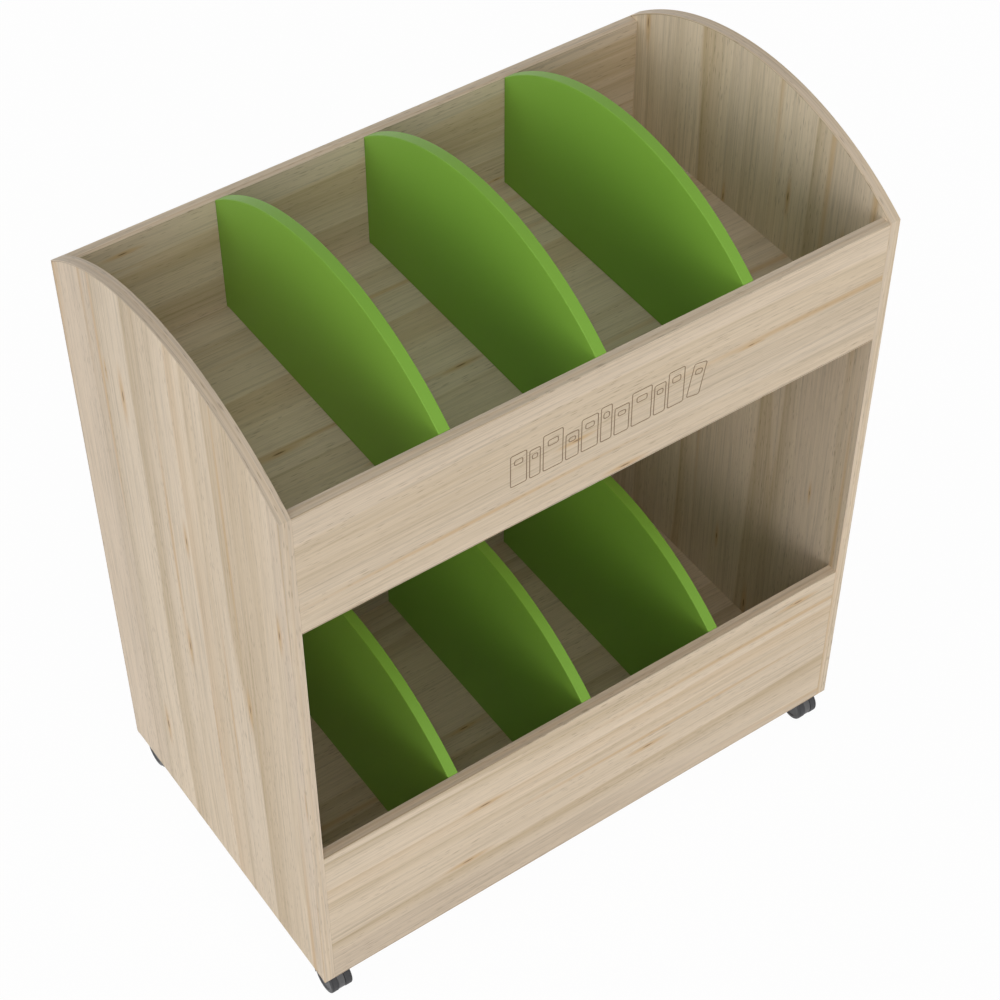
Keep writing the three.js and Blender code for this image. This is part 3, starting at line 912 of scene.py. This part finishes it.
def tray_floor(tray):
    node = f"{tray}_tray_floor"
    strip_low, strip_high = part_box("back_top_edging")
    front_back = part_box(f"{tray}_front_top_edging")[1].y
    node_low, node_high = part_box(node)
    low = Vector((strip_low.x, front_back, node_low.z))
    high = Vector((strip_high.x, strip_low.y, node_high.z))
    flat_board(f"{tray}_tray_board", low, high, "floor_wood", node)


def divider(node):
    sizes = bin_sizes()
    tray = node.split("_")[0]
    edge_low, edge_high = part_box(f"{tray}_front_top_edging")
    low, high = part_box(node)
    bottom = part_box(f"{tray}_tray_floor")[1].z
    name = node.replace("_divider_", "_arched_divider_")
    piece = arched_board(name, node, -edge_high.y, bottom, edge_high.z, high.z, finish_of("green"))
    round_edges(piece, sizes.divider_arris, 4)
    even_shading(piece)
    seat(piece, CARCASS, "green_board", node)


# Casters


class CasterPlace:
    """Where one caster's parts lie, read from its nodes."""

    def __init__(self, corner_name):
        sizes = bin_sizes()
        self.prefix = f"{corner_name}_caster"
        hood_low, hood_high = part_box(f"{self.prefix}_hood")
        pin_low, pin_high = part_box(f"{self.prefix}_kingpin")
        axle_low, axle_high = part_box(f"{self.prefix}_axle")
        left_low, left_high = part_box(f"{self.prefix}_wheel_left")
        right_low, right_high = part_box(f"{self.prefix}_wheel_right")
        self.axle = (axle_low + axle_high) / 2
        self.swivel = (pin_low + pin_high) / 2
        self.turn = math.pi if self.axle.y > self.swivel.y else 0.0
        self.inner = {"left": left_high.x, "right": right_low.x}
        self.wheel_radius = self.axle.z - left_low.z
        self.wheel_width = left_high.x - left_low.x
        self.axle_bore = (axle_high.z - axle_low.z) / 2 + sizes.pin_fit
        self.pin_bore = (pin_high.x - pin_low.x) / 2 + sizes.pin_fit
        self.pin_foot = pin_low.z
        self.web_half = (right_low.x - left_high.x) / 2 - sizes.web_gap
        self.web_radius = self.axle.z - hood_low.z
        self.hood_half = (hood_high.x - hood_low.x) / 2
        self.hood_top = hood_high.z


def placed_copy(piece, name, place, turn=0.0):
    mesh = piece.data.copy()
    mesh.transform(Matrix.Translation(place) @ Matrix.Rotation(turn, 4, "Z"))
    mesh.name = name
    return new_piece(name, mesh)


def hood_shell(half_width, stem, inner, outer):
    """The hood's shell and the stem under it, swept over the back and the top of the wheels."""
    stem_foot = 0.005
    fillet = 0.0015
    lip = 0.0008
    rounding = 0.0010
    end_rounding = 0.0006
    steps = 44
    right = [
        (stem, stem_foot),
        *corner((stem + fillet, inner - fillet), fillet, 180, 90),
        *corner((half_width - lip, inner + lip), lip, -90, 0),
        *corner((half_width - rounding, outer - rounding), rounding, 0, 90),
    ]
    section = right + [(-x, radius) for x, radius in reversed(right)]
    shape = bmesh.new()
    rings = []
    for step in range(steps + 1):
        angle = math.radians(HOOD_BACK + (HOOD_FRONT - HOOD_BACK) * step / steps)
        rings.append([
            shape.verts.new((x, radius * math.cos(angle), radius * math.sin(angle)))
            for x, radius in section
        ])
    for here, there in zip(rings, rings[1:]):
        bridge(shape, here, there)
    shape.faces.new(rings[0])
    shape.faces.new(rings[-1])
    shell = new_piece("hood_shell", mesh_of("hood_shell", shape))
    round_edges(shell, end_rounding, 3, 60.0)
    return shell


def hood_web(place):
    """The disc between the wheels, nearly as large as their treads."""
    half = place.web_half
    rounding = 0.0008
    rim = place.web_radius - rounding
    section = [
        (-half, place.axle_bore),
        *corner((rounding - half, rim), rounding, 180, 90),
        *corner((half - rounding, rim), rounding, 90, 0),
        (half, place.axle_bore),
    ]
    return turned("hood_web", section, Vector(), AXIS_X, 96, True)


def hood_boss(place, well):
    """The boss round the kingpin, with a collar under the plate, cut clear of the wheels."""
    sizes = bin_sizes()
    foot = place.pin_foot - sizes.pin_fit - sizes.boss_floor - place.axle.z
    head = place.hood_top - place.axle.z
    wall = place.pin_bore + sizes.boss_wall
    collar = wall + 0.0020
    collar_foot = head - 0.0016
    rounding = 0.001
    collar_edge = 0.0004
    section = [
        (foot, 0.0),
        *corner((foot + rounding, wall - rounding), rounding, 180, 90),
        (collar_foot, wall),
        (collar_foot, collar),
        *corner((head - collar_edge, collar - collar_edge), collar_edge, 90, 0),
        (head, place.pin_bore),
        (foot + sizes.boss_floor, place.pin_bore),
        (foot + sizes.boss_floor, 0.0),
    ]
    centre = Vector((0, abs(place.axle.y - place.swivel.y), 0))
    boss = turned("hood_boss", section, centre, AXIS_Z, 64)
    overlap = 0.0002
    clear = 0.01
    near = place.web_half - overlap
    far = place.hood_half + clear
    for side in (-1, 1):
        cut = [(side * near, 0.0), (side * near, well), (side * far, well), (side * far, 0.0)]
        combine(boss, turned("well", cut, Vector(), AXIS_X, 96), "DIFFERENCE")
    return boss


def hood_pattern(place):
    """A caster's hood about its axle, the wheels trailing towards the front."""
    sizes = bin_sizes()
    well = place.wheel_radius + sizes.well_gap
    stem_inset = 0.0006
    hood = hood_shell(place.hood_half, place.web_half - stem_inset, well, well + sizes.hood_wall)
    combine(hood, hood_web(place), "UNION")
    combine(hood, hood_boss(place, well), "UNION")
    hood.data.materials.clear()
    hood.data.materials.append(finish_of("nylon"))
    even_shading(hood, 32.0)
    return hood


def wheel_pattern(side, place):
    """A wheel about its inner face's middle: soft tread, dished face and cap."""
    sizes = bin_sizes()
    width = place.wheel_width
    radius = place.wheel_radius
    bore = place.axle_bore
    bore_end = width - 0.004
    chamfer = 0.0004
    inner_edge = 0.0009
    groove = width - 0.0034
    groove_half = 0.0002
    groove_foot = radius - 0.0005
    shoulder = 0.0030
    rim = 0.0006
    rim_radius = radius - 0.0064
    # The dished face and the cap on it: distance in from the outer face, and radius
    dish = (
        (0.0012, radius - 0.0076),
        (0.0013, radius - 0.0084),
        (0.0013, 0.0082),
        (0.0006, 0.0076),
        (0.0003, 0.0068),
        (0.0003, 0.0),
    )
    section = [
        (bore_end, 0.0),
        (bore_end, bore),
        (chamfer, bore),
        (0.0, bore + chamfer),
        *corner((inner_edge, radius - inner_edge), inner_edge, 180, 90),
        (groove - 2 * groove_half, radius),
        (groove - groove_half, groove_foot),
        (groove + groove_half, groove_foot),
        *corner((width - shoulder, radius - shoulder), shoulder, 90, 0, 8),
        *corner((width - rim, rim_radius), rim, 0, -90, 3),
        *((width - inset, r) for inset, r in dish),
    ]
    placed = [(side * d, r) for d, r in section]
    wheel = turned("wheel", placed, Vector(), AXIS_X, sizes.wheel_steps)
    wheel.data.materials.append(finish_of("tread"))
    wheel.data.materials.append(finish_of("hub"))
    hub_radius = radius - 0.0004
    for face in wheel.data.polygons:
        x, y, z = face.center
        if abs(x) > groove and math.hypot(y, z) < hub_radius:
            face.material_index = 1
    even_shading(wheel, 38.0)
    return wheel


def plate(corner_name, bore):
    sizes = bin_sizes()
    node = f"{corner_name}_caster_plate"
    low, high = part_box(node)
    middle = (low + high) / 2
    reach = (high - low) / 2
    rounding = sizes.plate_corner
    edge_rounding = 0.0004
    outer = []
    for sx, sy, start in ((1, 1, 0), (-1, 1, 90), (-1, -1, 180), (1, -1, 270)):
        centre = (sx * (reach.x - rounding), sy * (reach.y - rounding))
        outer += corner(centre, rounding, start, start + 90, 7)
    angles = [math.atan2(y, x) for x, y in outer]
    inner = [(bore * math.cos(angle), bore * math.sin(angle)) for angle in angles]
    shape = bmesh.new()
    loops = []
    for level in (low.z, high.z):
        for outline in (outer, inner):
            loops.append([shape.verts.new((middle.x + x, middle.y + y, level)) for x, y in outline])
    low_rim, low_hole, high_rim, high_hole = loops
    walls = ((low_rim, high_rim), (low_hole, high_hole), (low_rim, low_hole), (high_rim, high_hole))
    for here, there in walls:
        bridge(shape, here, there)
    name = f"{corner_name}_mounting_plate"
    piece = new_piece(name, mesh_of(name, shape))
    piece.data.materials.append(finish_of("zinc"))
    round_edges(piece, edge_rounding, 2, 60.0)
    even_shading(piece)
    seat(piece, CARCASS, "zinc_steel", node)


def casters():
    first = CasterPlace(CORNERS[0])
    hood = hood_pattern(first)
    wheels = {"left": wheel_pattern(-1, first), "right": wheel_pattern(1, first)}
    for corner_name in CORNERS:
        place = CasterPlace(corner_name)
        prefix = place.prefix
        piece = placed_copy(hood, f"{prefix}_housing", place.axle, place.turn)
        seat(piece, f"{prefix}_swivel", "black_nylon", f"{prefix}_hood")
        for side in SIDES:
            node = f"{prefix}_wheel_{side}"
            middle = Vector((place.inner[side], place.axle.y, place.axle.z))
            piece = placed_copy(wheels[side], f"{prefix}_{side}_roller", middle)
            seat(piece, node, "wheel_polymer", node)
        plate(corner_name, place.pin_bore)
        for part in ("kingpin", "axle"):
            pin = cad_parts[f"{prefix}_{part}"]
            pin.data.materials.clear()
            pin.data.materials.append(finish_of("zinc"))
    for pattern in (hood, *wheels.values()):
        bpy.data.objects.remove(pattern)


def screw_pattern(low, high):
    """A pan-head screw about its seat, with a cross recess."""
    head = 0.0035
    shank = 0.00175
    tip = 0.003
    drop = 0.0022
    reach = high.z - low.z - drop
    # The head's dome: height over its lowest point, and radius
    dome = ((0.0, 0.0), (0.0, 0.0016), (0.0003, 0.0024), (0.0008, 0.0031), (0.0015, head))
    section = [(up - drop, radius) for up, radius in dome]
    section += [(0.0, head), (0.0, shank), (reach - tip, shank), (reach, 0.0)]
    screw = turned("screw_pattern", section, Vector(), AXIS_Z, 24)
    arm = 0.0019
    arm_half = 0.0004
    recess_low = -drop - 0.001
    recess_high = -drop + 0.0012
    for x, y in ((arm, arm_half), (arm_half, arm)):
        tool = block("recess", Vector((-x, -y, recess_low)), Vector((x, y, recess_high)))
        combine(screw, tool, "DIFFERENCE")
    even_shading(screw, 35.0)
    return screw


def caster_screws():
    nodes = sorted(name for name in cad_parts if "_caster_screw_" in name)
    boxes = [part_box(node) for node in nodes]
    pattern = screw_pattern(*boxes[0])
    points = []
    for corner_name in CORNERS:
        seat_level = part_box(f"{corner_name}_caster_plate")[0].z
        for node, (low, high) in zip(nodes, boxes):
            if node.startswith(corner_name):
                points.append(Vector(((low.x + high.x) / 2, (low.y + high.y) / 2, seat_level)))
    mesh = bpy.data.meshes.new("caster_screws")
    mesh.from_pydata(points, [], [])
    piece = new_piece("caster_screws", mesh)
    shape_by(piece, "screws", {"Screw": pattern, "Seed": 5, "Material": finish_of("zinc")})
    bpy.data.objects.remove(pattern)
    even_shading(piece, 35.0)
    seat(piece, CARCASS, "zinc_steel", *nodes)


# Stage


def make_camera(scene):
    camera = bpy.data.objects.new("Camera", bpy.data.cameras.new("Camera"))
    camera.location = CAMERA_PLACE
    camera.rotation_euler = Vector(CAMERA_FORWARD).to_track_quat("-Z", "Y").to_euler()
    camera.data.sensor_width = CAMERA_SENSOR
    camera.data.lens = CAMERA_LENS
    scene.collection.objects.link(camera)
    scene.camera = camera


def seen_directly(nodes):
    """1 for rays that show the stage itself, and 0 for those that light the object."""
    names = ("Is Camera Ray", "Is Glossy Ray", "Is Transmission Ray")
    view, glossy, through = nodes.add("ShaderNodeLightPath", out=names)
    return view.largest(glossy).largest(through)


def make_light(scene):
    scene.view_settings.view_transform = "Standard"
    world = bpy.data.worlds.new("Studio")
    world.use_nodes = True
    nodes = Nodes(world.node_tree)
    way = nodes.add("ShaderNodeTexCoord", out="Generated")
    height = nodes.add("ShaderNodeSeparateXYZ", None, {"Vector": way}, "Z")
    level = SKY_RIM * (1 - height.largest(0.0))
    sky = nodes.add("ShaderNodeBackground", None, {"Color": (1, 1, 1, 1), "Strength": level})
    white = nodes.add("ShaderNodeBackground", None, {"Color": (1, 1, 1, 1), "Strength": 1.0})
    both = nodes.add("ShaderNodeMixShader", None, {0: seen_directly(nodes), 1: sky, 2: white})
    nodes.add("ShaderNodeOutputWorld", None, {"Surface": both}, None)
    scene.world = world

    for name, strength, shadow, source in SOFT_LIGHTS:
        light = bpy.data.objects.new(name, bpy.data.lights.new(name, "SUN"))
        light.data.energy = strength
        light.data.angle = LIGHT_SPREAD
        light.data.use_shadow = shadow
        light.rotation_euler = Vector(source).to_track_quat("Z", "Y").to_euler()
        scene.collection.objects.link(light)


def make_floor():
    material, nodes = new_finish("white_floor", (1.0, 1.0, 1.0))
    paint = nodes.add("ShaderNodeBsdfDiffuse", None, {"Color": (0.9, 0.9, 0.9, 1.0)})
    shine = nodes.add("ShaderNodeEmission", None, {"Strength": 1.0})
    share = FLOOR_SHINE * seen_directly(nodes)
    shown = nodes.add("ShaderNodeMixShader", None, {0: share, 1: paint, 2: shine})
    clear = nodes.add("ShaderNodeBsdfTransparent")
    under = nodes.add("ShaderNodeNewGeometry", out="Backfacing")
    floor_shader = nodes.add("ShaderNodeMixShader", None, {0: under, 1: shown, 2: clear})
    nodes.add("ShaderNodeOutputMaterial", None, {"Surface": floor_shader}, None)
    shape = bmesh.new()
    bmesh.ops.create_grid(shape, x_segments=1, y_segments=1, size=FLOOR_SIZE / 2)
    mesh = bpy.data.meshes.new("floor")
    shape.to_mesh(mesh)
    shape.free()
    mesh.materials.append(material)
    new_piece("floor", mesh)


# Operators


class BROWSERBIN_OT_stage(bpy.types.Operator):
    """Set up the camera, the soft light and the white floor"""

    bl_idname = "browser_bin.stage"
    bl_label = "Stage"

    def execute(self, context):
        make_camera(context.scene)
        make_light(context.scene)
        make_floor()
        return {"FINISHED"}


class BROWSERBIN_OT_end_panels(bpy.types.Operator):
    """Build the two arched end panels with their edging"""

    bl_idname = "browser_bin.end_panels"
    bl_label = "End panels"

    def execute(self, context):
        for side in SIDES:
            end_panel(side)
        return {"FINISHED"}


class BROWSERBIN_OT_front_and_back(bpy.types.Operator):
    """Build the two front panels and the back with their edging"""

    bl_idname = "browser_bin.front_and_back"
    bl_label = "Front and back"

    def execute(self, context):
        for tray in TRAYS:
            front_panel(f"{tray}_front")
        back_panel()
        return {"FINISHED"}


class BROWSERBIN_OT_tray_floors(bpy.types.Operator):
    """Build the two tray floors"""

    bl_idname = "browser_bin.tray_floors"
    bl_label = "Tray floors"

    def execute(self, context):
        for tray in TRAYS:
            tray_floor(tray)
        return {"FINISHED"}


class BROWSERBIN_OT_dividers(bpy.types.Operator):
    """Build the green arched dividers"""

    bl_idname = "browser_bin.dividers"
    bl_label = "Dividers"

    def execute(self, context):
        for node in sorted(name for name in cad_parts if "_divider_" in name):
            divider(node)
        return {"FINISHED"}


class BROWSERBIN_OT_casters(bpy.types.Operator):
    """Build the casters' hoods, wheels and mounting plates"""

    bl_idname = "browser_bin.casters"
    bl_label = "Casters"

    def execute(self, context):
        casters()
        return {"FINISHED"}


class BROWSERBIN_OT_caster_screws(bpy.types.Operator):
    """Set the screws that hold the mounting plates"""

    bl_idname = "browser_bin.caster_screws"
    bl_label = "Caster screws"

    def execute(self, context):
        caster_screws()
        return {"FINISHED"}


OPERATORS = (
    BROWSERBIN_OT_stage,
    BROWSERBIN_OT_end_panels,
    BROWSERBIN_OT_front_and_back,
    BROWSERBIN_OT_tray_floors,
    BROWSERBIN_OT_dividers,
    BROWSERBIN_OT_casters,
    BROWSERBIN_OT_caster_screws,
)


class VIEW3D_PT_browser_bin(bpy.types.Panel):
    """Sizes, colours and steps of the browser bin"""

    bl_idname = "VIEW3D_PT_browser_bin"
    bl_label = "Browser bin"
    bl_space_type = "VIEW_3D"
    bl_region_type = "UI"
    bl_category = "Browser bin"

    def draw(self, context):
        for group in (context.scene.browser_bin_sizes, context.scene.browser_bin_colours):
            box = self.layout.box()
            for name in group.__annotations__:
                box.prop(group, name)
        for operator in OPERATORS:
            self.layout.operator(operator.bl_idname)


CLASSES = (BrowserBinSizes, BrowserBinColours, *OPERATORS, VIEW3D_PT_browser_bin)


def register():
    for item in CLASSES:
        bpy.utils.register_class(item)
    bpy.types.Scene.browser_bin_sizes = PointerProperty(type=BrowserBinSizes)
    bpy.types.Scene.browser_bin_colours = PointerProperty(type=BrowserBinColours)


def unregister():
    del bpy.types.Scene.browser_bin_colours
    del bpy.types.Scene.browser_bin_sizes
    for item in reversed(CLASSES):
        bpy.utils.unregister_class(item)


def main():
    register()
    bpy.ops.browser_bin.stage()
    bpy.ops.browser_bin.end_panels()
    bpy.ops.browser_bin.front_and_back()
    bpy.ops.browser_bin.tray_floors()
    bpy.ops.browser_bin.dividers()
    bpy.ops.browser_bin.casters()
    bpy.ops.browser_bin.caster_screws()


if __name__ == "__main__":
    main()
